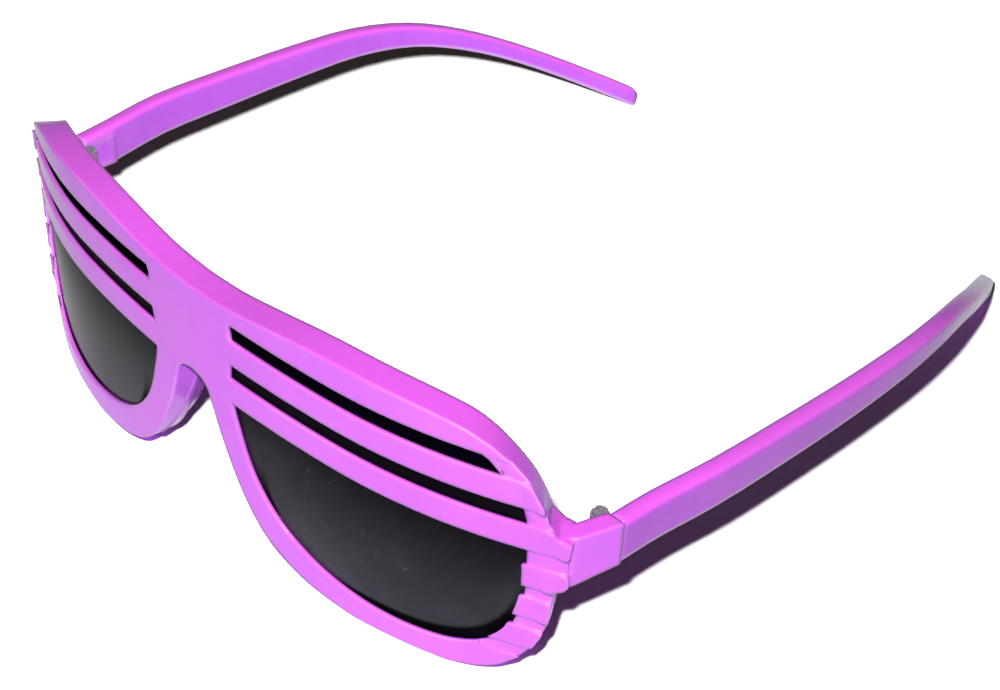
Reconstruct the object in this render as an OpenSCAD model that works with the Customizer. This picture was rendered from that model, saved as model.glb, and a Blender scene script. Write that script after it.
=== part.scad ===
/* [Front] */
// Half width of the front face, middle to the end of an end piece
front_half = 67.8; // [64:0.2:72]
// Height of the front over its rim bottoms
front_h = 50.6; // [48:0.2:54]
// Radius of the middle of the curved face
wrap_r = 204; // [190:1:230]
// Radius of the two outer parts of the curved face
wrap_side_r = 94; // [88:1:100]
// Distance from the middle where the tighter curve starts
wrap_break = 31.6; // [28:0.2:34]
// Forward lean of the front over its rim bottoms, degrees
face_lean = 1.6; // [0.8:0.1:2.4]
// Depth of the frame, face to back
rim_depth = 5; // [4.8:0.1:5.6]
// Thickness of the slats in front of the lenses
slat_t = 0.6; // [0.5:0.1:1]
// Flat moulded under each rim, its depth into the curve
rest_cut = 0.5; // [0.45:0.01:0.6]

/* [Slats] */
// Height of the brow bar's lower edge over the rim bottoms, at the middle
brow_low = 46.2; // [45.6:0.1:46.8]
// Width of a slat
slat_w = 4.7; // [4.2:0.1:5]
// Width of an open slot
slot_w = 3.1; // [2.6:0.1:3.3]
// Width of a ridge on the outer rim, under the slats
ridge_w = 4.3; // [3.8:0.1:4.6]
// Width of the groove between two ridges
ridge_gap = 2.2; // [1.8:0.1:2.6]
// Number of ridges under the slats
ridge_count = 3; // [2:1:3]
// Drop of a slat from the middle to its outer end
slat_drop = 2.5; // [1.5:0.1:3]
// Depth of the grooves between the slat ends
groove_d = 0.3; // [0.2:0.05:0.4]
// Overhang of the slat and ridge ends past the rim's outer edge
ridge_out = 0.25; // [0.2:0.05:0.6]
// Thickness of the slat ends and ridges, from the face
ridge_t = 2; // [1.6:0.1:2.2]
// Overhang of the ridges into the lens opening
ridge_in = 0.5; // [0.3:0.05:0.8]

/* [Nose] */
// Thickness of a nose pad
pad_t = 1.9; // [1.5:0.1:2.2]
// Reach of a nose pad behind the back of the frame
pad_reach = 3.2; // [2.4:0.1:4]

/* [Lenses] */
// Thickness of a lens
lens_t = 1.6; // [1.2:0.1:1.8]
// Depth of the groove that holds a lens's edge
lens_groove = 1.2; // [0.9:0.1:1.3]
// Clearance round a lens in its groove
lens_clear = 0.06; // [0.04:0.01:0.1]

/* [Temples] */
// Distance of the temple joint behind the middle of the face
joint_y = 24.3; // [23.8:0.1:25.5]
// Top of the end pieces and the temples over the table
joint_top = 31.8; // [31.4:0.1:32.2]
// Height of the end pieces and of the temples at the joint
joint_h = 8; // [7.6:0.1:8.4]
// Length of a temple from the joint to its tip
temple_l = 132; // [122:1:136]
// Thickness of a temple at the joint
temple_t = 3.4; // [3:0.1:3.8]
// Height of a temple at its tip
temple_tip_h = 4.6; // [4:0.1:5.4]
// Outward swing of a temple between the joint and its bend
temple_bow = 2.4; // [1.6:0.1:2.8]
// Inward reach of the tip from the joint
tip_in = 19.7; // [14:0.1:22]
// Rounding of a temple's long edges
temple_round = 0.9; // [0.6:0.1:1.1]

/* [Hinges] */
// Diameter of a hinge barrel
barrel_d = 3; // [2.6:0.1:3.2]
// Height of one of a hinge's three barrels
barrel_h = 1.7; // [1.4:0.1:1.8]
// Thickness of a hinge leaf
leaf_t = 0.8; // [0.6:0.1:1]
// Depth of a leaf in the plastic, under its inner face
leaf_in = 0.5; // [0.4:0.05:0.6]
// Length of the leaf in a temple
leaf_l = 6; // [5:0.1:7]
// Diameter of a hinge screw
screw_d = 1.4; // [1.1:0.1:1.6]
// Diameter of a hinge screw's head
screw_head_d = 2.5; // [2.1:0.1:2.8]
// Height of a hinge screw's head
screw_head_h = 0.6; // [0.4:0.1:0.8]
// Diameter of a stud that holds a leaf in the plastic
stud_d = 1.2; // [0.9:0.1:1.4]
// Running clearance round the screw and between the barrels
hinge_clear = 0.04; // [0.03:0.01:0.08]

/* [Hidden] */
// Overrun of every cut
cut = 1;
// Steps of a curve between two of its points, and sides of the round pieces
curve_steps = 3;
open_steps = 2;
bar_steps = 8;
round_sides = 16;
$fn = 96;

// Edge of the front, from the top of the bridge round to the top of the nose gap,
// in shares of the half width and of the height
brow_shares = [[0, 0.958], [0.12, 0.964], [0.24, 0.981], [0.36, 0.996], [0.46, 1], [0.56, 0.995],
  [0.66, 0.984], [0.735, 0.969], [0.787, 0.95], [0.83, 0.916], [0.86, 0.88], [0.889, 0.838],
  [0.916, 0.788], [0.937, 0.729], [0.952, 0.67]];
rim_shares = [[0.962, 0.42], [0.961, 0.355], [0.957, 0.29], [0.945, 0.225], [0.929, 0.165],
  [0.905, 0.108], [0.872, 0.06], [0.825, 0.027], [0.765, 0.008], [0.7, 0.001], [0.63, 0],
  [0.54, 0.006], [0.45, 0.019], [0.37, 0.04], [0.305, 0.074], [0.25, 0.116], [0.21, 0.165],
  [0.177, 0.221], [0.149, 0.282], [0.124, 0.35], [0.102, 0.418], [0.083, 0.486], [0.068, 0.548],
  [0.056, 0.59], [0.034, 0.618], [0, 0.628]];
// Edge of a lens opening, clockwise from its inner upper corner, in the same shares
open_shares = [[0.16, 0.93], [0.3, 0.945], [0.5, 0.95], [0.68, 0.94], [0.75, 0.915], [0.79, 0.87],
  [0.825, 0.81], [0.862, 0.74], [0.88, 0.67], [0.893, 0.59], [0.902, 0.51], [0.903, 0.43],
  [0.897, 0.355], [0.888, 0.3], [0.877, 0.247], [0.86, 0.197], [0.83, 0.15], [0.788, 0.117],
  [0.74, 0.098], [0.69, 0.091], [0.63, 0.089], [0.56, 0.095], [0.49, 0.11], [0.42, 0.133],
  [0.36, 0.166], [0.307, 0.206], [0.263, 0.255], [0.228, 0.31], [0.2, 0.37], [0.179, 0.435],
  [0.164, 0.5], [0.15, 0.56], [0.142, 0.62], [0.14, 0.68], [0.146, 0.75], [0.154, 0.84]];
// Path of a temple: share of the length, share of the bow, share of the inward reach, share of
// the height of the joint's lower edge that is left, share of the taper done
path_shares = [[0, 0, 0, 1, 0], [0.06, 0.25, 0, 1.025, 0.03], [0.15, 0.85, 0, 1.05, 0.08],
  [0.27, 1, 0, 1.05, 0.2], [0.4, 1, 0, 1.055, 0.4], [0.52, 0.8, 0.015, 1.055, 0.64],
  [0.62, 0.4, 0.08, 1, 0.86], [0.71, 0.2, 0.232, 0.86, 1], [0.8, 0.1, 0.433, 0.643, 1.07],
  [0.9, 0, 0.705, 0.34, 1.05], [1, 0, 1, 0.0065, 1]];
// Side outline of a nose pad: share of its reach, share of the height of the front
pad_shares = [[-0.5, 0.16], [0.1, 0.17], [0.5, 0.21], [0.85, 0.28], [1, 0.36], [0.93, 0.43],
  [0.7, 0.49], [0.35, 0.535], [-0.5, 0.56]];
pad_root_share = 0.14;
end_root_share = 0.94;
tip_shares = [[0.35, 0.94], [0.65, 0.76], [0.87, 0.5], [0.97, 0.26]];
end_low_share = 0.44;
end_back_share = 0.3;
front_stud_share = 0.55;
temple_stud_shares = [0.45, 0.8];
tip_depth_share = 0.39;
// Rounded corners, the spread of the end pieces and the front leaf of a hinge
end_corner = 1.1;
side_out = 2.5;
front_leaf_l = 3.5;
ridge_round = 0.9;
pad_splay = 14;
stud_l = 0.8;
corner_turn = 45;
slot_depth = 0.3;
slot_width = 0.5;
strap_w = 0.9;

// Smooth open curve through points
function pick(p, i) = p[min(max(i, 0), len(p) - 1)];
function between(a, b, c, d, t) =
  0.5 * (2 * b + (c - a) * t + (2 * a - 5 * b + 4 * c - d) * t * t
  + (3 * b - a - 3 * c + d) * t * t * t);
function smooth(p, n) = concat(
  [for (i = [0:len(p) - 2]) for (j = [0:n - 1])
    between(pick(p, i - 1), pick(p, i), pick(p, i + 1), pick(p, i + 2), j / n)],
  [p[len(p) - 1]]);
function ring_smooth(p, n) = let(m = len(p))
  [for (i = [0:m - 1]) for (j = [0:n - 1])
    between(p[(i + m - 1) % m], p[i], p[(i + 1) % m], p[(i + 2) % m], j / n)];
function sized(p) = [for (q = p) [q[0] * front_half, q[1] * front_h]];
function mirrored(p) = concat(p, [for (i = [len(p) - 1:-1:0]) if (p[i][0] > 0) [-p[i][0], p[i][1]]]);
// A clockwise closed outline moved outward by d
function unit(v) = v / norm(v);
function grow(p, d) = let(m = len(p)) [for (i = [0:m - 1])
  let(a = unit(p[(i + 1) % m] - p[(i + m - 1) % m])) p[i] + d * [-a[1], a[0]]];

// The face in plan: a wide arc in the middle and a tighter one on each side, tangent
break_turn = asin(wrap_break / wrap_r);
side_x = (wrap_r - wrap_side_r) * sin(break_turn);
side_y = wrap_r - (wrap_r - wrap_side_r) * cos(break_turn);
function face_y(x) = x <= wrap_break ? wrap_r - sqrt(wrap_r * wrap_r - x * x)
  : side_y - sqrt(wrap_side_r * wrap_side_r - (x - side_x) * (x - side_x));

// Where the pieces of the joint lie, seen from above
outer_share = 0.82;
ridge_start_share = 0.8;
nose_share = 0.3;
pad_top_share = 0.57;
end_root = front_half * end_root_share;
end_low = front_h * end_low_share;
pad_x = front_half * pad_root_share;
end_out = front_half + side_out;
end_in = end_out - temple_t;
joint_low = joint_top - joint_h;
barrel_r = barrel_d / 2;
hinge_x = end_in - barrel_r - hinge_clear;
hinge_h = 3 * barrel_h + 2 * hinge_clear;
hinge_low = joint_low + (joint_h - hinge_h) / 2;
hinge_top = hinge_low + hinge_h;
leaf_x = end_in + leaf_in;
groove_back = slat_t + lens_t + 2 * lens_clear;
far_y = joint_y + cut;
depth_mid = (joint_y + temple_l + temple_t * tip_depth_share - front_h * sin(face_lean)) / 2;

edge_right = concat(smooth(sized(brow_shares), curve_steps),
  [[front_half - end_corner, joint_top], [front_half, joint_top - end_corner / 2],
  [front_half, end_low + end_corner / 2], [front_half - end_corner / 2, end_low]],
  smooth(sized(rim_shares), curve_steps));
edge_all = mirrored(edge_right);
open_edge = ring_smooth(sized(open_shares), open_steps);

// Heights of the slots and grooves: upper and lower edge at the middle
slot_1 = [brow_low, brow_low - slot_w];
slot_2 = slot_1 - [slat_w + slot_w, slat_w + slot_w];
window_top = slot_2[1] - slat_w;
first_ridge = window_top - slot_w;
function groove(i) = i == 0 ? [window_top, first_ridge]
  : [first_ridge - i * ridge_w - (i - 1) * ridge_gap, first_ridge - i * (ridge_w + ridge_gap)];
levels = concat([slot_1, slot_2], [for (i = [0:ridge_count]) groove(i)]);
function drop(x) = slat_drop * x * x / (front_half * front_half);

// A band between two heights that sags as the slats do
module band(top, low, x0, x1) polygon(concat(
  [for (i = [0:bar_steps]) let(x = x0 + (x1 - x0) * i / bar_steps) [x, top - drop(x)]],
  [for (i = [bar_steps:-1:0]) let(x = x0 + (x1 - x0) * i / bar_steps) [x, low - drop(x)]]));

// An outline pushed through the front so that its walls stand square on the curved face
function square_x(q, y) = let(x = abs(q[0]), wide = x <= wrap_break, mid = wide ? 0 : side_x,
  mid_y = wide ? wrap_r : side_y) sign(q[0]) * (mid + (x - mid) * (mid_y - y) / (mid_y - face_y(x)));
module squared(p) let(m = len(p)) polyhedron(
  points = [for (y = [-cut, far_y]) for (q = p) [square_x(q, y), y, q[1]]],
  faces = concat([[for (i = [0:m - 1]) i]], [[for (i = [2 * m - 1:-1:m]) i]],
    [for (i = [0:m - 1]) let(j = (i + 1) % m) each [[i, m + i, m + j], [i, m + j, j]]]));

// A flat shape pushed through the front, along the depth
module through(y0, y1) translate([0, y1, 0]) rotate([90, 0, 0]) linear_extrude(y1 - y0) children();
module both() { children(); mirror([1, 0, 0]) children(); }

// All that lies deeper than d behind the curved face, and the curved sheet between two depths
module behind(d) translate([0, 0, -cut]) {
  intersection() {
    translate([0, wrap_r, 0]) cylinder(r = wrap_r - d, h = front_h + 2 * cut);
    linear_extrude(front_h + 2 * cut) polygon([[0, wrap_r],
      [-2 * wrap_break, wrap_r - 2 * wrap_break / tan(break_turn)],
      [2 * wrap_break, wrap_r - 2 * wrap_break / tan(break_turn)]]);
  }
  both() translate([side_x, side_y, 0]) cylinder(r = wrap_side_r - d, h = front_h + 2 * cut);
}
module sheet(d0, d1) difference() { behind(d0); behind(d1); }

module shaped(d0, d1) intersection() { sheet(d0, d1); through(-cut, far_y) children(); }

// One slat end or ridge, with rounded corners, between two grooves
module ridge(i) offset(r = ridge_round, $fn = round_sides) offset(delta = -ridge_round) intersection() {
  polygon(grow(edge_all, ridge_out));
  band(levels[i - 1][1], levels[i][0], front_half * ridge_start_share, front_half + side_out);
}
module ridges(first) for (i = [first:len(levels) - 1]) difference() {
  ridge(i);
  polygon(grow(open_edge, -ridge_in));
}

// The open slots and the window, and the shallow grooves that go on past them
module openings() difference() {
  intersection() {
    polygon(open_edge);
    union() {
      band(slot_1[0], slot_1[1], 0, front_half);
      band(slot_2[0], slot_2[1], 0, front_half);
      band(window_top, -front_h, 0, front_half);
    }
  }
  ridges(3);
}
module grooves() difference() {
  for (l = levels) band(l[0], l[1], front_half * outer_share, front_half + side_out);
  polygon(open_edge);
}

module lean() translate([0, 0, -rest_cut]) rotate([face_lean, 0, 0]) children();
module place() translate([0, -depth_mid, 0]) children();

// The front without its end pieces: base, raised face, openings and lens grooves
module face_body() difference() {
  union() {
    intersection() { sheet(groove_d, rim_depth); squared(edge_all); }
    difference() {
      intersection() { sheet(0, groove_d + cut / 2); squared(edge_all); }
      both() through(-cut, far_y) grooves();
    }
    intersection() {
      both() shaped(0, ridge_t) ridges(1);
      squared(grow(edge_all, ridge_out));
    }
    both() nose_pad();
  }
  both() {
    shaped(-cut, slat_t + cut / 2) openings();
    shaped(slat_t, groove_back) polygon(grow(open_edge, lens_groove));
    shaped(groove_back - cut / 2, rim_depth + cut) polygon(open_edge);
  }
}

// A pad that carries the front on the nose: the nose edge carried on behind the frame
module nose_pad() translate([pad_x, rim_depth, 0]) rotate([0, 0, -pad_splay]) translate([-pad_x, -rim_depth, 0])
  intersection() {
    through(slat_t, rim_depth + pad_reach + cut) intersection() {
      difference() { polygon(edge_all); polygon(grow(edge_all, -pad_t)); }
      square([front_half * nose_share, front_h * pad_top_share]);
    }
    translate([-cut, 0, 0]) rotate([90, 0, 90]) linear_extrude(front_half * nose_share + 2 * cut)
      polygon([for (q = smooth(pad_shares, curve_steps)) [rim_depth + q[0] * pad_reach, q[1] * front_h]]);
  }

// An end piece: it goes back from the face to the temple joint
module end_piece() intersection() {
  linear_extrude(front_h) polygon([
    [end_root, face_y(end_root) + groove_d + cut / 2], [front_half - end_corner, face_y(front_half - end_corner) + groove_d],
    [front_half, face_y(front_half) + groove_d], [end_out, joint_y], [end_in, joint_y],
    [end_root + end_corner, face_y(end_root) + rim_depth - end_corner]]);
  rotate([90, 0, 90]) linear_extrude(end_out + cut) polygon([
    [0, end_low], [joint_y * (1 - end_back_share), end_low], [joint_y, joint_low],
    [joint_y, joint_top], [0, joint_top]]);
}
// Room for the barrels, and for a leaf with its straps and studs: y0 and y1 are the leaf's ends
module hinge_room() translate([hinge_x, joint_y, min(end_low, hinge_low) - cut])
  cylinder(r = barrel_r + 2 * hinge_clear, h = joint_h + joint_top);
module strap(k, y0, y1, extra) translate([hinge_x - extra, y0 - extra, hinge_low + k * (barrel_h + hinge_clear) - extra])
  cube([leaf_x + leaf_t - hinge_x + 2 * extra, y1 - y0 + 2 * extra, barrel_h + 2 * extra]);
module leaf(y0, y1, stud_ys, extra) {
  translate([leaf_x - extra, y0 - extra, hinge_low - extra])
    cube([leaf_t + 2 * extra, y1 - y0 + 2 * extra, hinge_h + 2 * extra]);
  for (y = stud_ys) for (z = [hinge_low + hinge_h / 4, hinge_top - hinge_h / 4])
    translate([leaf_x, y, z]) rotate([0, 90, 0])
      cylinder(d = stud_d + 2 * extra, h = leaf_t + stud_l + extra);
}
front_stud_y = [joint_y - front_leaf_l * front_stud_share];
temple_stud_y = [for (s = temple_stud_shares) joint_y + leaf_l * s];
module front_leaf(extra) {
  for (k = [0, 2]) strap(k, joint_y - strap_w, joint_y, extra);
  leaf(joint_y - front_leaf_l, joint_y, front_stud_y, extra);
}
module temple_leaf(extra) {
  strap(1, joint_y, joint_y + strap_w, extra);
  leaf(joint_y, joint_y + leaf_l, temple_stud_y, extra);
}

module front_frame() color("#dd66f5") place() difference() {
  union() {
    lean() face_body();
    both() end_piece();
  }
  both() { hinge_room(); front_leaf(hinge_clear); }
  translate([-front_half - side_out - cut, -cut - front_h * sin(face_lean), -front_h])
    cube([2 * (front_half + side_out + cut), joint_y + front_h, front_h]);
}

module lens() place() lean() shaped(slat_t + lens_clear, slat_t + lens_clear + lens_t)
  polygon(grow(open_edge, lens_groove - lens_clear));
module lens_right() color("#3a3a42") lens();
module lens_left() color("#3a3a42") mirror([1, 0, 0]) lens();

// A temple: a rounded bar along its path, one ring of points at a time
path = smooth(path_shares, 3);
function ring_x(q) = end_out - temple_t / 2 + q[1] * temple_bow - q[2] * tip_in;
function ring_h(q) = joint_h - (joint_h - temple_tip_h) * q[4];
function ring_z(q) = joint_low * q[3] + ring_h(q) / 2;
corner = [for (c = [[1, 1, 0], [-1, 1, 90], [-1, -1, 180], [1, -1, 270]]) for (a = [0:corner_turn:90])
  [c[0], c[1], c[2] + a]];
function ring(x, y, z, t, h, s) = [for (c = corner) [
  x + s * (c[0] * (t / 2 - temple_round) + temple_round * cos(c[2])), y,
  z + s * (c[1] * (h / 2 - temple_round) + temple_round * sin(c[2]))]];
last = path[len(path) - 1];
before = path[len(path) - 2];
run = [ring_x(last) - ring_x(before), (last[0] - before[0]) * temple_l, ring_z(last) - ring_z(before)];
rings = concat(
  [for (q = path) ring(ring_x(q), joint_y + q[0] * temple_l, ring_z(q), temple_t, ring_h(q), 1)],
  [for (c = tip_shares) let(p = [ring_x(last), joint_y + temple_l, ring_z(last)] + run / norm(run) * c[0] * temple_t / 2)
    ring(p[0], p[1], p[2], temple_t, ring_h(last), c[1])]);
sides = len(corner);
module bar() polyhedron(
  points = [for (r = rings) for (p = r) p],
  faces = concat([[for (i = [sides - 1:-1:0]) i]],
    [for (k = [0:len(rings) - 2]) for (i = [0:sides - 1]) let(j = (i + 1) % sides, a = k * sides, b = a + sides)
      each [[a + i, b + j, b + i], [a + i, a + j, b + j]]],
    [[for (i = [0:sides - 1]) (len(rings) - 1) * sides + i]]));
module temple() place() difference() {
  union() {
    bar();
    translate([end_in, joint_y, joint_low + temple_round])
      cube([temple_t / 2, leaf_l + temple_round, joint_h - 2 * temple_round]);
  }
  temple_leaf(hinge_clear);
}
module temple_right() color("#d05cf0") temple();
module temple_left() color("#d05cf0") mirror([1, 0, 0]) temple();

// Hinges: barrels on leaves that lie on the inner faces, turning on a screw
module barrel(k) translate([hinge_x, joint_y, hinge_low + k * (barrel_h + hinge_clear)])
  cylinder(d = barrel_d, h = barrel_h);
module bore() translate([hinge_x, joint_y, hinge_low - cut])
  cylinder(d = screw_d + 2 * hinge_clear, h = hinge_h + 2 * cut);
module hinge_front() color("#9a9aa0") place() difference() {
  union() {
    for (k = [0, 2]) barrel(k);
    front_leaf(0);
  }
  bore();
}
module hinge_temple() color("#9a9aa0") place() difference() {
  union() {
    barrel(1);
    temple_leaf(0);
  }
  bore();
}
module hinge_screw() color("#6f6f75") place() translate([hinge_x, joint_y, hinge_low]) difference() {
  union() {
    cylinder(d = screw_d, h = hinge_h + screw_head_h / 2);
    translate([0, 0, hinge_h]) cylinder(d = screw_head_d, h = screw_head_h);
  }
  translate([-screw_head_d, -slot_width / 2, hinge_h + screw_head_h - slot_depth])
    cube([2 * screw_head_d, slot_width, slot_depth + cut]);
}
module hinge_front_right() hinge_front();
module hinge_front_left() mirror([1, 0, 0]) hinge_front();
module hinge_temple_right() hinge_temple();
module hinge_temple_left() mirror([1, 0, 0]) hinge_temple();
module hinge_screw_right() hinge_screw();
module hinge_screw_left() mirror([1, 0, 0]) hinge_screw();

front_frame();
lens_right();
lens_left();
temple_right();
temple_left();
hinge_front_right();
hinge_front_left();
hinge_temple_right();
hinge_temple_left();
hinge_screw_right();
hinge_screw_left();
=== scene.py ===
import bmesh
import bpy
import numpy as np
from mathutils import Matrix


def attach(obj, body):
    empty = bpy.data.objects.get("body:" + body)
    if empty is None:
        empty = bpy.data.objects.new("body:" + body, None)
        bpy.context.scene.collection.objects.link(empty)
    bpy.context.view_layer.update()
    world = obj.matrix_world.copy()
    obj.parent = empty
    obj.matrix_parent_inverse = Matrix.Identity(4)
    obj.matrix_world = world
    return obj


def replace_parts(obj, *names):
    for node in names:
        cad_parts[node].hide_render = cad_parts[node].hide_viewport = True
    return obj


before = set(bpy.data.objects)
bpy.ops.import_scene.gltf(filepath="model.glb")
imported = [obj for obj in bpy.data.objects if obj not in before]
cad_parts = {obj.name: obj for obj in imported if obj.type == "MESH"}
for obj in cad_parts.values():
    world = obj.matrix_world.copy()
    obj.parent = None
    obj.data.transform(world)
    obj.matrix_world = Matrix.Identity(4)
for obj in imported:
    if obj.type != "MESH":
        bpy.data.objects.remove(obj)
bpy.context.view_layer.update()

# Camera: stands near, above and to the right of the front, as in the photograph, tilted by a few degrees.
# Its place comes from a fit of the object's outlines, in metres in the model's own frame.
camera_data = bpy.data.cameras.new("camera")
camera_data.sensor_width = 36.0
camera_data.lens = 69.0
camera_data.shift_x = -0.0026
camera_data.shift_y = 0.0107
camera_data.clip_start = 0.01
camera_data.clip_end = 20.0
camera = bpy.data.objects.new("camera", camera_data)
bpy.context.scene.collection.objects.link(camera)
camera_stand = Matrix((
    (0.6929, -0.4655, 0.5506, 0.19959),
    (0.7192, 0.3918, -0.5739, -0.21648),
    (0.0514, 0.7936, 0.6062, 0.21865),
    (0.0, 0.0, 0.0, 1.0)))
camera.matrix_world = camera_stand
bpy.context.scene.camera = camera
bpy.context.scene.view_settings.view_transform = "Standard"


# Front frame: one injection-moulded piece with slats, ridges, nose pads and end pieces.
# Violet-pink plastic, dyed through, softly glossy from a polished mould, paler at the edges from scuffs and
# from a painted highlight, with a painted top light on faces that look up and painted shade on faces off the
# light.
class Sock:
    """One shader socket with arithmetic. Each operator adds one Math node to the socket's tree."""

    def __init__(self, tree, socket=None):
        self.tree, self.socket = tree, socket

    def add(self, kind, feed, out=0, **settings):
        """Any other node: feed maps an input's name or place to a value or a socket."""
        made = self.tree.nodes.new(kind)
        for key, value in settings.items():
            setattr(made, key, value)
        for key, value in feed.items():
            if isinstance(value, Sock):
                self.tree.links.new(value.socket, made.inputs[key])
            else:
                made.inputs[key].default_value = value
        return Sock(self.tree, made.outputs[out])

    def maths(self, operation, *values):
        return self.add("ShaderNodeMath", dict(enumerate(values)), operation=operation)

    def __add__(self, other):
        return self.maths("ADD", self, other)

    def __radd__(self, other):
        return self.maths("ADD", other, self)

    def __sub__(self, other):
        return self.maths("SUBTRACT", self, other)

    def __rsub__(self, other):
        return self.maths("SUBTRACT", other, self)

    def __mul__(self, other):
        return self.maths("MULTIPLY", self, other)

    def __rmul__(self, other):
        return self.maths("MULTIPLY", other, self)

    def __truediv__(self, other):
        return self.maths("DIVIDE", self, other)

    def __rtruediv__(self, other):
        return self.maths("DIVIDE", other, self)

    def ramp(self, low, high):
        """From 0 at low to 1 at high, smoothly."""
        return self.add("ShaderNodeMapRange", {0: self, 1: low, 2: high}, interpolation_type="SMOOTHSTEP")

    def mix(self, first, second):
        """The colour first where this is 0, second where it is 1."""
        return self.add("ShaderNodeMix", {0: self, 6: first, 7: second}, 2, data_type="RGBA")


def principled(name, constants):
    """A material with one Principled shader, its constant inputs set on its own sockets."""
    made = bpy.data.materials.new(name)
    made.use_nodes = True
    shader = made.node_tree.nodes["Principled BSDF"]
    for key, value in constants.items():
        shader.inputs[key].default_value = value
    return made, shader, Sock(made.node_tree)


def join(shader, feed):
    """Links sockets to the inputs of a shader, by the inputs' names."""
    for key, value in feed.items():
        value.tree.links.new(value.socket, shader.inputs[key])


def dress(node, material):
    """Gives a CAD node its material, in all its slots."""
    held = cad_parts[node].data.materials
    if not len(held):
        held.append(material)
    for slot in range(len(held)):
        held[slot] = material


LIGHT_WAY = (0.6, -0.55, 0.58)
# Colour of the painted highlight along the lower edges.
LOW_EDGE_HIGHLIGHT = (0.97, 0.85, 0.98, 1)


def moulded(name, soft, low_highlight_share, body, pale, deep, top_light, shade):
    """Dyed glossy plastic: flow clouds in the colour, a fine mould texture, soft edges that are paler.

    soft is the rounding of the edges, and the low share is how strong the painted highlight along the lower
    edges is. The colours are those of the sides, of edges paler from scuffs and from a painted highlight, of
    the flow clouds, of faces that look up as a painted top light, and of faces off the light as painted
    shade.
    """
    made, shader, at = principled(name, {
        "IOR": 1.49, "Specular IOR Level": 0.28, "Coat Roughness": 0.06, "Subsurface Weight": 0.0})
    place = at.add("ShaderNodeTexCoord", {}, 3)
    clouds = at.add("ShaderNodeTexNoise", {"Vector": place, "Scale": 55.0, "Detail": 3.0, "Roughness": 0.55})
    grain = at.add("ShaderNodeTexNoise", {"Vector": place, "Scale": 2600.0, "Detail": 2.0, "Roughness": 0.6})
    peel = at.add("ShaderNodeTexNoise", {"Vector": place, "Scale": 420.0, "Detail": 2.0, "Roughness": 0.5})
    round_normal = at.add("ShaderNodeBevel", {"Radius": soft}, samples=8)
    flat_normal = at.add("ShaderNodeNewGeometry", {}, 1)
    edge = 1.0 - at.add("ShaderNodeVectorMath", {0: round_normal, 1: flat_normal}, 1, operation="DOT_PRODUCT")
    worn_and_highlit = edge.ramp(0.01, 0.28) * clouds.ramp(0.35, 0.6)
    tilt = at.add("ShaderNodeSeparateXYZ", {0: round_normal}, 2)
    # Faces that look up take the top-light colour: a painted top light.
    up = tilt.ramp(0.15, 0.65)
    # Lower edges turn pale: a painted highlight along them.
    low_edge_highlight = (0.0 - tilt).ramp(0.1, 0.5) * (1.0 - (0.0 - tilt).ramp(0.65, 0.9))
    lit = at.add("ShaderNodeVectorMath", {0: flat_normal, 1: LIGHT_WAY}, 1, operation="DOT_PRODUCT")
    colour = clouds.ramp(0.3, 0.7).mix(deep, body)
    colour = up.mix(colour, top_light)
    colour = lit.ramp(0.2, 0.6).mix(shade, colour)
    colour = (low_edge_highlight * low_highlight_share).mix(colour, LOW_EDGE_HIGHLIGHT)
    # Edges turn pale: in patches from scuffs, and all along as a painted highlight.
    colour = (worn_and_highlit * 0.35 + edge.ramp(0.02, 0.2) * 0.12).mix(colour, pale)
    texture = grain * 0.35 + peel * 0.65
    bump = at.add("ShaderNodeBump", {
        "Strength": 0.35, "Distance": 0.00012, "Height": texture, "Normal": round_normal})
    join(shader, {
        "Base Color": colour,
        "Roughness": 0.13 + peel * 0.07 + worn_and_highlit * 0.12,
        "Coat Weight": 0.06 - worn_and_highlit * 0.04,
        "Normal": bump})
    return made


front_plastic = moulded(
    "front_plastic", soft=0.0011, low_highlight_share=0.1,
    body=(0.8, 0.175, 0.99, 1), pale=(0.95, 0.55, 1.0, 1), deep=(0.74, 0.15, 0.98, 1),
    top_light=(0.86, 0.125, 0.92, 1), shade=(0.62, 0.12, 0.99, 1))
dress("front_frame", front_plastic)

# The front and the lenses are drawn out a little at their outer ends: the slots, the windows and the brow
# reach further round there than in the solids, and the ends of the slats and ridges stand proud.
# Lengths are in metres. Shares are of the front's height, or of half its width along the face.
HALF, HEIGHT, DEPTH = 0.0678, 0.0506, 0.005
WRAP, WRAP_BREAK, WRAP_SIDE = 0.204, 0.0316, 0.094
LEAN, REST_CUT = np.radians(1.6), 0.0005
FACE_Y = -0.078107
PROUD, PROUD_STARTS, PROUD_FULL = 0.0004, 0.035, 0.01
ONSET, EDGE_SPARE = 0.5, 0.001
END_PIECE_LOW, END_PIECE_TOP = 0.43, 0.63
RIDGES_LOW, RIDGES_TOP = 0.17, 0.86
DEPTH_REACHED, FACE_SKIN, SAME_POINT = DEPTH * 1.04, 0.0001, 0.000002
SHARP_TURN = np.radians(27)
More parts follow.
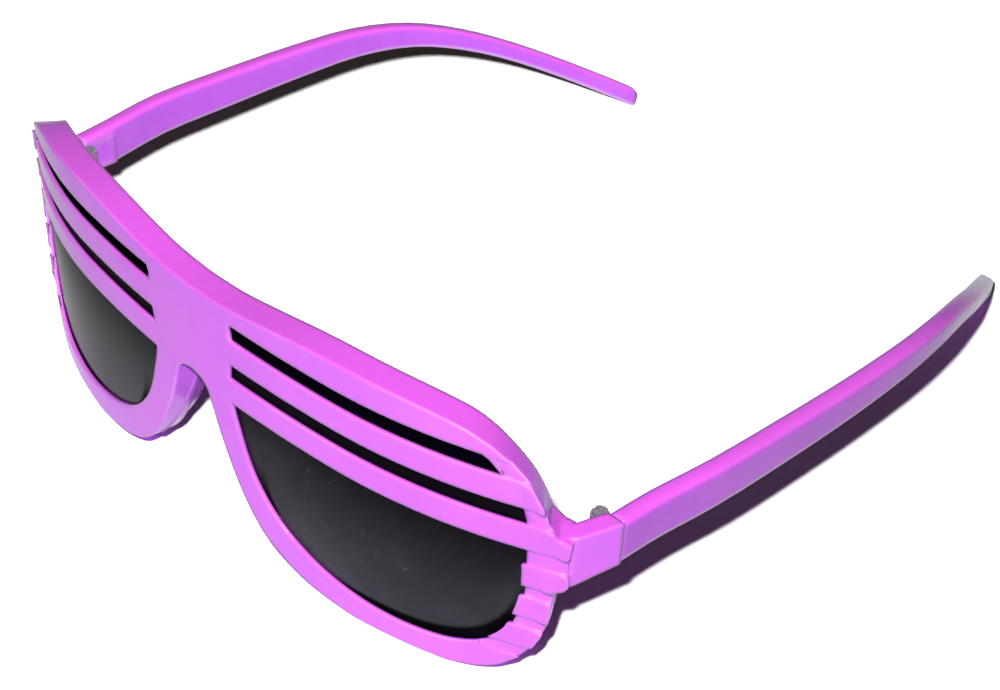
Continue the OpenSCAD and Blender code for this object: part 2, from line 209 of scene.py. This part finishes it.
# Height, then place and shift of the opening's outer side, then of the front's outer edge, in shares
DRAW_SHARES = np.array((
    (0.0, 0.6, 0.0, 0.8, 0.0),
    (0.06, 0.7, 0.0, 0.872, 0.003),
    (0.108, 0.78, 0.006, 0.905, 0.006),
    (0.165, 0.84, 0.016, 0.929, 0.01),
    (0.225, 0.87, 0.019, 0.945, 0.012),
    (0.29, 0.886, 0.019, 0.957, 0.013),
    (0.355, 0.897, 0.018, 0.961, 0.013),
    (0.42, 0.902, 0.018, 0.962, 0.012),
    (0.44, 0.903, 0.017, 1.0, 0.0),
    (0.51, 0.902, 0.017, 1.0, 0.0),
    (0.59, 0.893, 0.025, 1.0, 0.0),
    (0.67, 0.88, 0.036, 0.952, 0.009),
    (0.74, 0.862, 0.041, 0.932, 0.017),
    (0.81, 0.825, 0.05, 0.905, 0.02),
    (0.87, 0.789, 0.049, 0.865, 0.022),
    (0.915, 0.75, 0.03, 0.83, 0.015),
    (0.95, 0.68, 0.012, 0.787, 0.008),
    (1.0, 0.5, 0.0, 0.7, 0.0)))


def smooth_step(value, low, high):
    share = np.clip((value - low) / (high - low), 0, 1)
    return share * share * (3 - 2 * share)


def drawn_out(node):
    """A copy of a CAD node of the front, drawn out along the curved face, that stands for it."""
    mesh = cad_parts[node].data.copy()
    points = np.empty(len(mesh.vertices) * 3)
    mesh.vertices.foreach_get("co", points)
    points = points.reshape(-1, 3)
    # Each point's place on the upright face: how far across, how high, and how deep behind it
    side = np.sign(points[:, 0])
    x, y, z = np.abs(points[:, 0]), points[:, 1] - FACE_Y, points[:, 2] + REST_CUT
    back, up = y * np.cos(LEAN) + z * np.sin(LEAN), z * np.cos(LEAN) - y * np.sin(LEAN)
    turn = np.arcsin(WRAP_BREAK / WRAP)
    mid_x, mid_y = (WRAP - WRAP_SIDE) * np.sin(turn), WRAP - (WRAP - WRAP_SIDE) * np.cos(turn)
    inside = WRAP_SIDE - np.hypot(x - mid_x, mid_y - back)
    across = (mid_x + (x - mid_x) * WRAP_SIDE / (WRAP_SIDE - inside)) / HALF
    level = up / HEIGHT
    # How far it moves outward, between the opening's outer side and the front's outer edge
    hole, hole_shift, edge, edge_shift = (
        np.interp(level, DRAW_SHARES[:, 0], DRAW_SHARES[:, column]) for column in (1, 2, 3, 4))
    above = level > END_PIECE_TOP
    edge_shift = np.where(above, edge_shift * np.clip(1 - inside / DEPTH, 0, 1), edge_shift)
    past_hole = np.clip((across - hole) / (edge - hole), 0, 1)
    shift = hole_shift * smooth_step(across, ONSET, hole) * (1 - past_hole) + edge_shift * past_hole
    shift = np.where((x > WRAP_BREAK) & (inside < DEPTH_REACHED), shift, 0)
    # Ridge ends that hang over the outer edge are first set back to it
    clear_of_end_piece = (level < END_PIECE_LOW) | above
    overhangs = (inside < DEPTH / 2) & clear_of_end_piece & (across > edge + EDGE_SPARE)
    face_x = (np.where(overhangs, edge + EDGE_SPARE, across) + shift) * HALF
    face_back = mid_y - np.sqrt(WRAP_SIDE ** 2 - (face_x - mid_x) ** 2)
    # The ends of the slats and ridges rise from the face
    proud = PROUD * smooth_step(across, edge - PROUD_STARTS, edge - PROUD_FULL) * (inside < FACE_SKIN)
    proud = np.where((level > RIDGES_LOW) & (level < RIDGES_TOP) & (x > WRAP_BREAK), proud, 0)
    reach = (WRAP_SIDE - inside + proud) / WRAP_SIDE
    moved = (shift != 0) | (proud != 0)
    new_x, new_back = mid_x + (face_x - mid_x) * reach, mid_y - (mid_y - face_back) * reach
    points[moved, 0] = (side * new_x)[moved]
    points[moved, 1] = (new_back * np.cos(LEAN) - up * np.sin(LEAN) + FACE_Y)[moved]
    points[moved, 2] = (new_back * np.sin(LEAN) + up * np.cos(LEAN) - REST_CUT)[moved]
    mesh.vertices.foreach_set("co", points.ravel())
    # The faces share their points again and are smoothed, so that the stretched ones show no folds
    mesh.attributes.remove(mesh.attributes["custom_normal"])
    shell = bmesh.new()
    shell.from_mesh(mesh)
    bmesh.ops.remove_doubles(shell, verts=shell.verts, dist=SAME_POINT)
    shell.to_mesh(mesh)
    shell.free()
    mesh.shade_smooth()
    mesh.set_sharp_from_angle(angle=SHARP_TURN)
    made = bpy.data.objects.new(node + "_drawn_out", mesh)
    bpy.context.scene.collection.objects.link(made)
    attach(made, "front")
    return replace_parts(made, node)


drawn_out("front_frame")

# Temples: moulded bars of the same dyed plastic, rounded on their long edges.
# They come from another mould, so their clouds and gloss differ a little. Their lower edges carry a stronger
# painted highlight.
temple_plastic = moulded(
    "temple_plastic", soft=0.0018, low_highlight_share=0.4,
    body=(0.56, 0.12, 0.79, 1), pale=(0.86, 0.45, 0.96, 1), deep=(0.49, 0.095, 0.75, 1),
    top_light=(0.86, 0.125, 0.9, 1), shade=(0.5, 0.1, 0.78, 1))
dress("temple_right", temple_plastic)
dress("temple_left", temple_plastic)

# Lenses: thin smoke-tinted plastic sheets, black at the top and clearer towards the bottom.
# Polished on both faces, with a little dust and faint wiping scuffs, and a black lip along the lower part of
# the window's rim that is painted shade.
# Sizes are in metres: the window's middle and half sizes, and the heights between which a layer fades.
WINDOW_MID_X, WINDOW_HALF_WIDTH = 0.0385, 0.0242
WINDOW_MID_Z, WINDOW_HALF_HEIGHT = 0.028, 0.0236
CORNER_POWER = 3.0
CLEAR_HEIGHTS, LIP_SHADE_HEIGHTS, SHEEN_HEIGHTS = (0.004, 0.03), (0.013, 0.022), (0.01, 0.044)
SMOKE_DARK, SMOKE_CLEAR = (0.002, 0.001, 0.004, 1), (0.026, 0.025, 0.036, 1)
LIP_SHADE_BLACK, DUST_GREY = (0.001, 0.0005, 0.002, 1), (0.4, 0.42, 0.46, 1)
lens_smoke, lens_shader, lens_at = principled("lens_smoke", {
    "IOR": 1.5, "Specular IOR Level": 0.0, "Coat IOR": 1.3, "Coat Roughness": 0.08})
lens_place = lens_at.add("ShaderNodeTexCoord", {}, 3)
lens_side = lens_at.maths("ABSOLUTE", lens_at.add("ShaderNodeSeparateXYZ", {0: lens_place}, 0))
lens_height = lens_at.add("ShaderNodeSeparateXYZ", {0: lens_place}, 2)
lens_cloud = lens_at.add("ShaderNodeTexNoise", {
    "Vector": lens_place, "Scale": 70.0, "Detail": 3.0, "Roughness": 0.6})
specks = lens_at.add("ShaderNodeTexVoronoi", {"Vector": lens_place, "Scale": 260.0, "Randomness": 1.0}, 0)
dust = (1.0 - specks.ramp(0.05, 0.11)) * lens_cloud.ramp(0.5, 0.62)
wipe_place = lens_at.add("ShaderNodeMapping", {
    "Vector": lens_place, "Scale": (90.0, 90.0, 900.0), "Rotation": (0.0, 0.5, 0.3)})
wipe = lens_at.add("ShaderNodeTexNoise", {"Vector": wipe_place, "Scale": 1.0, "Detail": 4.0})
clear = 1.0 - lens_height.ramp(*CLEAR_HEIGHTS)
across_window = lens_at.maths("ABSOLUTE", (lens_side - WINDOW_MID_X) / WINDOW_HALF_WIDTH)
up_window = lens_at.maths("ABSOLUTE", (lens_height - WINDOW_MID_Z) / WINDOW_HALF_HEIGHT)
across_power, up_power = (lens_at.maths("POWER", way, CORNER_POWER) for way in (across_window, up_window))
# Black lip along the lower window rim: painted shade, which also takes away some gloss and clearness.
lip_shade = (across_power + up_power).ramp(0.8, 0.9) * (1.0 - lens_height.ramp(*LIP_SHADE_HEIGHTS))
# The gloss fades towards the top and over the lip: painted shade that keeps the lens black behind the slats.
sheen_shaded_at_top = (1.0 - lens_height.ramp(*SHEEN_HEIGHTS)) * (1.0 - lip_shade * 0.9)
scuffs = lens_cloud.ramp(0.45, 0.75) * sheen_shaded_at_top
tint = clear.mix(SMOKE_DARK, SMOKE_CLEAR)
tint = lip_shade.mix(tint, LIP_SHADE_BLACK)
tint = (scuffs * 0.04 + dust * 0.12).mix(tint, DUST_GREY)
join(lens_shader, {
    "Base Color": tint,
    "Roughness": 0.06 + wipe.ramp(0.5, 0.75) * 0.1 + dust * 0.4,
    "Coat Weight": sheen_shaded_at_top * 0.62,
    "Alpha": 0.999 - clear * 0.06 * (1.0 - lip_shade) + dust * 0.03})
for node in ("lens_right", "lens_left"):
    dress(node, lens_smoke)
    drawn_out(node)

# Hinges: stamped and rolled steel leaves with barrels, moulded into the plastic by their studs.
# Dull bare metal with rolling lines along the leaf and a darker film of oil. Both tones are tinted violet as
# a painted reflection of the plastic.
# Both steel tones carry a violet tint: a painted reflection of the plastic around them.
STEEL_BARE_WITH_REFLECTION, STEEL_FILM_WITH_REFLECTION = (0.5, 0.34, 0.56, 1), (0.28, 0.14, 0.32, 1)
hinge_steel, hinge_shader, hinge_at = principled("hinge_steel", {"Specular IOR Level": 0.5, "Metallic": 0.45})
hinge_place = hinge_at.add("ShaderNodeTexCoord", {}, 3)
rolling_way = hinge_at.add("ShaderNodeMapping", {"Vector": hinge_place, "Scale": (1500.0, 1500.0, 12000.0)})
rolled = hinge_at.add("ShaderNodeTexNoise", {"Vector": rolling_way, "Scale": 1.0, "Detail": 3.0})
film_cloud = hinge_at.add("ShaderNodeTexNoise", {"Vector": hinge_place, "Scale": 600.0, "Detail": 3.0})
film = film_cloud.ramp(0.4, 0.65)
join(hinge_shader, {
    "Base Color": film.mix(STEEL_BARE_WITH_REFLECTION, STEEL_FILM_WITH_REFLECTION),
    "Roughness": 0.38 + rolled * 0.18 + film * 0.15,
    "Normal": hinge_at.add("ShaderNodeBump", {"Strength": 0.3, "Distance": 0.00005, "Height": rolled})})
for node in ("hinge_front_right", "hinge_front_left", "hinge_temple_right", "hinge_temple_left"):
    dress(node, hinge_steel)

# Hinge screws: turned steel with a slotted head, a little brighter than the leaves.
# The turning leaves fine marks on the head.
MARKS_DARK, MARKS_BRIGHT = (0.4, 0.36, 0.44, 1), (0.58, 0.52, 0.62, 1)
screw_steel, screw_shader, screw_at = principled("screw_steel", {"Specular IOR Level": 0.5, "Metallic": 0.7})
screw_place = screw_at.add("ShaderNodeTexCoord", {}, 3)
turned = screw_at.add("ShaderNodeTexNoise", {"Vector": screw_place, "Scale": 3000.0, "Detail": 2.0})
join(screw_shader, {
    "Base Color": turned.ramp(0.35, 0.65).mix(MARKS_DARK, MARKS_BRIGHT),
    "Roughness": 0.22 + turned * 0.2})
dress("hinge_screw_right", screw_steel)
dress("hinge_screw_left", screw_steel)

# Floor: a plain white sheet under the object, wide enough for every view.
# Near the object it takes the light and the shadow, and further out the eye sees it plain white.
FLOOR_HALF = 4
FAR_STARTS, FAR_FULL = 0.2, 0.34
FLOOR_LIT, FLOOR_SEEN, WHITE = (0.6, 0.6, 0.6, 1), (1.95, 1.95, 1.95, 1), (1, 1, 1, 1)
GLOSS_SHARE = 0.3


def seen_by_eye(at):
    """1 for what the camera sees itself, a share of it for what shows in gloss or through a clear piece."""
    rays = ("Is Camera Ray", "Is Glossy Ray", "Is Transmission Ray")
    camera_ray, glossy_ray, through_ray = (at.add("ShaderNodeLightPath", {}, ray) for ray in rays)
    return camera_ray + (glossy_ray + through_ray) * GLOSS_SHARE


floor_mesh = bpy.data.meshes.new("floor")
floor_corners = [(x * FLOOR_HALF, y * FLOOR_HALF, 0) for x, y in ((-1, -1), (1, -1), (1, 1), (-1, 1))]
floor_mesh.from_pydata(floor_corners, [], [(0, 1, 2, 3)])
floor = bpy.data.objects.new("floor", floor_mesh)
bpy.context.scene.collection.objects.link(floor)
floor_white = bpy.data.materials.new("floor_white")
floor_white.use_nodes = True
floor_white.node_tree.nodes.clear()
floor_at = Sock(floor_white.node_tree)
floor_eye = seen_by_eye(floor_at)
floor_colour = floor_eye.mix(FLOOR_LIT, FLOOR_SEEN)
floor_paint = floor_at.add("ShaderNodeBsdfDiffuse", {"Color": floor_colour, "Roughness": 0.0})
floor_place = floor_at.add("ShaderNodeTexCoord", {}, 3)
floor_way = floor_at.add("ShaderNodeVectorMath", {0: floor_place}, 1, operation="LENGTH")
floor_glow = floor_at.add("ShaderNodeEmission", {"Color": WHITE, "Strength": 1.0})
floor_mixed = floor_at.add("ShaderNodeMixShader", {
    0: floor_eye * floor_way.ramp(FAR_STARTS, FAR_FULL), 1: floor_paint, 2: floor_glow})
join(floor_white.node_tree.nodes.new("ShaderNodeOutputMaterial"), {"Surface": floor_mixed})
floor_mesh.materials.append(floor_white)

# Light: a small soft lamp beside the camera throws the close, dark shadow, and the room adds a faint warm
# fill. The lamp is turned as the camera is and keeps its strength with distance, so the floor stays even.
LAMP_PLACE = (0.1634, -0.2024, 0.2210)
ROOM_FILL = (0.008, 0.0076, 0.0032, 1)
lamp_data = bpy.data.lights.new("key", "AREA")
lamp_data.shape = "DISK"
lamp_data.size = 0.012
lamp_data.energy = 13.8
lamp_data.use_nodes = True
lamp_at = Sock(lamp_data.node_tree)
lamp_strength = lamp_at.add("ShaderNodeLightFalloff", {"Strength": 1.0}, 2)
join(lamp_data.node_tree.nodes["Emission"], {"Strength": lamp_strength})
lamp = bpy.data.objects.new("key", lamp_data)
bpy.context.scene.collection.objects.link(lamp)
lamp.matrix_world = Matrix.Translation(LAMP_PLACE) @ camera_stand.to_3x3().to_4x4()
world = bpy.data.worlds.new("room")
bpy.context.scene.world = world
world.use_nodes = True
room_at = Sock(world.node_tree)
room_colour = seen_by_eye(room_at).mix(ROOM_FILL, WHITE)
room_paint = world.node_tree.nodes["Background"]
room_paint.inputs["Strength"].default_value = 1.0
join(room_paint, {"Color": room_colour})
